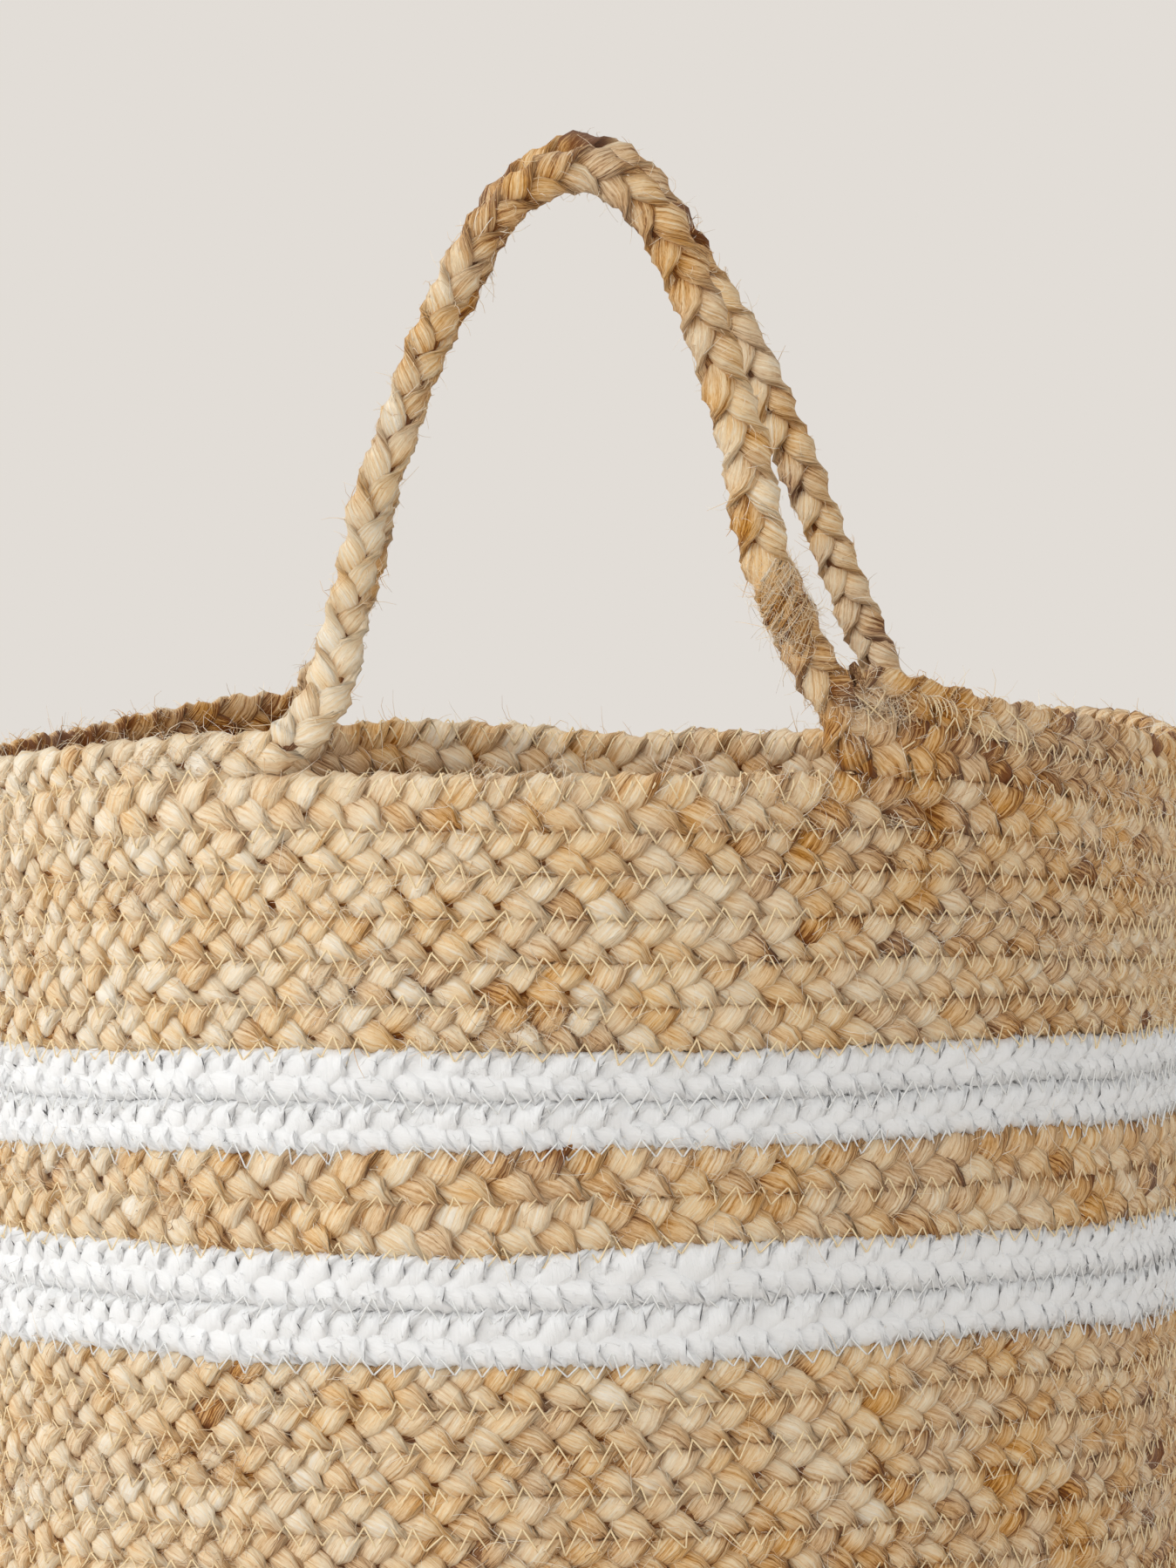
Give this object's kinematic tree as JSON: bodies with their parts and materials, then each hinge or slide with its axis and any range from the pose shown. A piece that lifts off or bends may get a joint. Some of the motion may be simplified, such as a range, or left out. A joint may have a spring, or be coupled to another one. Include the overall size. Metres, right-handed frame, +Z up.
{
  "type": "storage basket",
  "caption": "Round storage basket wound from flat braid sewn edge to edge, with two white bands and two upright braid handles that flex where they rise from the rim.",
  "frame": {"origin": "centre of the round base, on the surface that it stands on", "axes": "+Z up; the front handle is at -Y and the rear handle at +Y; +X is the side with the cut end of the braid"},
  "size_m": [0.4, 0.402, 0.5604],
  "materials": {
    "jute_braid": "coarse plaited jute, straw to brown",
    "jute_handle": "coarse plaited jute, hairy",
    "cotton_braid": "soft bleached cotton braid",
    "cream_thread": "cream sewing thread",
    "white_thread": "white sewing thread"
  },
  "bodies": {
    "basket": {"base_centre": "jute_braid", "base_round_01": "jute_braid", "base_round_02": "jute_braid", "base_round_03": "jute_braid", "base_round_04": "jute_braid", "base_round_05": "jute_braid", "base_round_06": "jute_braid", "base_round_07": "jute_braid", "base_round_08": "jute_braid", "base_round_09": "jute_braid", "base_round_10": "jute_braid", "base_round_11": "jute_braid", "base_round_12": "jute_braid", "base_round_13": "jute_braid", "corner_course": "jute_braid", "lower_jute_course_01": "jute_braid", "lower_jute_course_02": "jute_braid", "lower_jute_course_03": "jute_braid", "lower_jute_course_04": "jute_braid", "lower_jute_course_05": "jute_braid", "lower_jute_course_06": "jute_braid", "lower_jute_course_07": "jute_braid", "lower_jute_course_08": "jute_braid", "lower_jute_course_09": "jute_braid", "lower_jute_course_10": "jute_braid", "lower_jute_course_11": "jute_braid", "lower_jute_course_12": "jute_braid", "lower_jute_course_13": "jute_braid", "lower_white_course_1": "cotton_braid", "lower_white_course_2": "cotton_braid", "middle_jute_course_1": "jute_braid", "middle_jute_course_2": "jute_braid", "upper_white_course_1": "cotton_braid", "upper_white_course_2": "cotton_braid", "upper_jute_course_1": "jute_braid", "upper_jute_course_2": "jute_braid", "upper_jute_course_3": "jute_braid", "upper_jute_course_4": "jute_braid", "upper_jute_course_5": "jute_braid", "gap_rim_course": "jute_braid", "left_side_course": "jute_braid", "right_side_course": "jute_braid", "right_top_course": "jute_braid", "front_turned_ends": "jute_braid", "rear_turned_ends": "jute_braid", "base_thread": "cream_thread", "lower_jute_thread": "cream_thread", "middle_jute_thread": "cream_thread", "upper_jute_thread": "cream_thread", "front_overcast_thread": "cream_thread", "rear_overcast_thread": "cream_thread", "end_tack_thread": "cream_thread", "lower_white_thread": "white_thread", "upper_white_thread": "white_thread"},
    "front_handle": {"front_handle": "jute_handle"},
    "rear_handle": {"rear_handle": "jute_handle"}
  },
  "joints": [
    {"name": "front_handle_fold", "type": "hinge", "parent": "basket", "child": "front_handle", "pos_m": [0.00628, -0.1797, 0.37573], "axis": [0.9994, 0.0349, 0], "range_deg": [-70, 105]},
    {"name": "rear_handle_fold", "type": "hinge", "parent": "basket", "child": "rear_handle", "pos_m": [0.01391, 0.16917, 0.37573], "axis": [-0.9966, 0.0819, 0], "range_deg": [-70, 105]}
  ]
}
